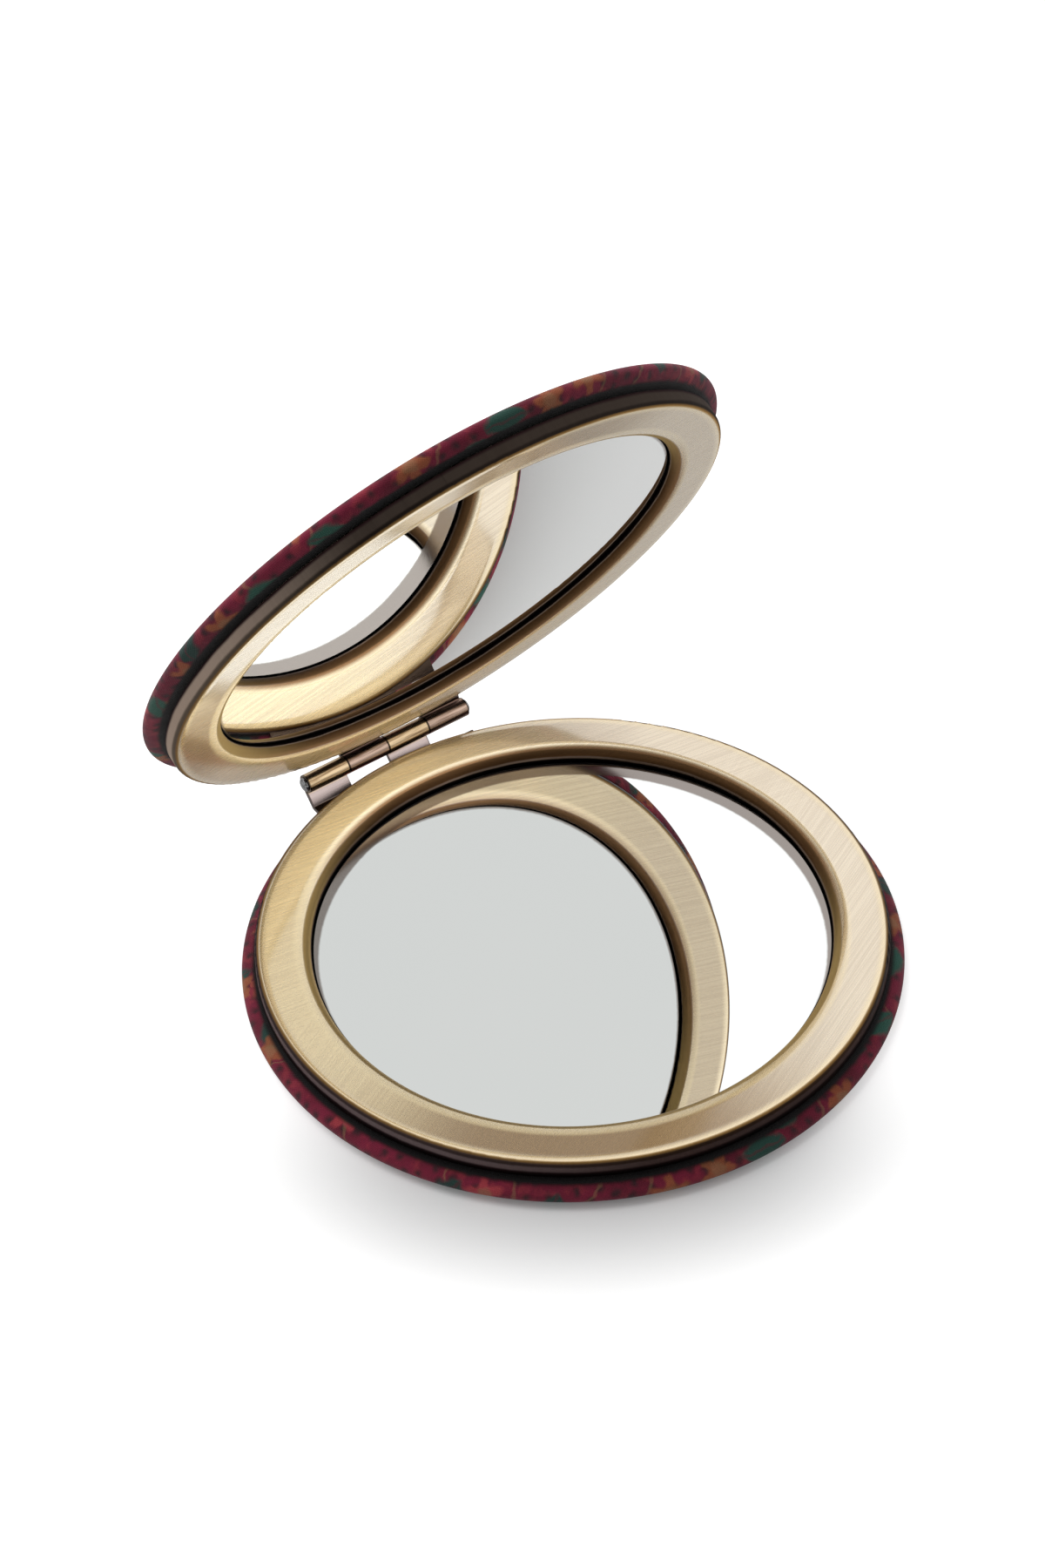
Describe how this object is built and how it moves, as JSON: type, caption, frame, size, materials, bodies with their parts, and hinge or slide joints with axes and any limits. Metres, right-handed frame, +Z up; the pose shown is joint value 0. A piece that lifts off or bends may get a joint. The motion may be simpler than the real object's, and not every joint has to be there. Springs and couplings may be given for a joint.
{
  "type": "compact mirror",
  "caption": "Round folding compact mirror: a mirror in each brass-framed half, a barrel hinge that stays where it is put, and padded cloth covers.",
  "frame": {"origin": "centre of the base cover's flat underside, on the surface that the compact lies on", "axes": "+Z up out of the base's mirror, +Y towards the hinge, +X along the hinge pin"},
  "size_m": [0.07, 0.0746, 0.0709],
  "materials": {
    "printed_cloth": "matte",
    "foam": "matte",
    "board": "matte",
    "glue": "satin",
    "antique_brass": "satin",
    "mirror_glass": "polished",
    "hinge_bronze": "satin",
    "steel": "satin"
  },
  "bodies": {
    "base": {"base_cover_cloth": "printed_cloth", "base_cover_foam": "foam", "base_cover_board": "board", "base_cover_glue": "glue", "base_frame": "antique_brass", "base_mirror_glue": "glue", "base_mirror": "mirror_glass", "base_hinge_leaf": "hinge_bronze", "base_rivet_left": "steel", "base_rivet_right": "steel", "hinge_pin": "steel"},
    "lid": {"lid_cover_cloth": "printed_cloth", "lid_cover_foam": "foam", "lid_cover_board": "board", "lid_cover_glue": "glue", "lid_frame": "antique_brass", "lid_mirror_glue": "glue", "lid_mirror": "mirror_glass", "lid_hinge_leaf": "hinge_bronze", "lid_rivet_left": "steel", "lid_rivet_right": "steel"}
  },
  "joints": [
    {"name": "lid_hinge", "type": "hinge", "parent": "base", "child": "lid", "pos_m": [0, 0.0353, 0.0053], "axis": [-1, 0, 0], "range_deg": [-65.4, 115]}
  ]
}
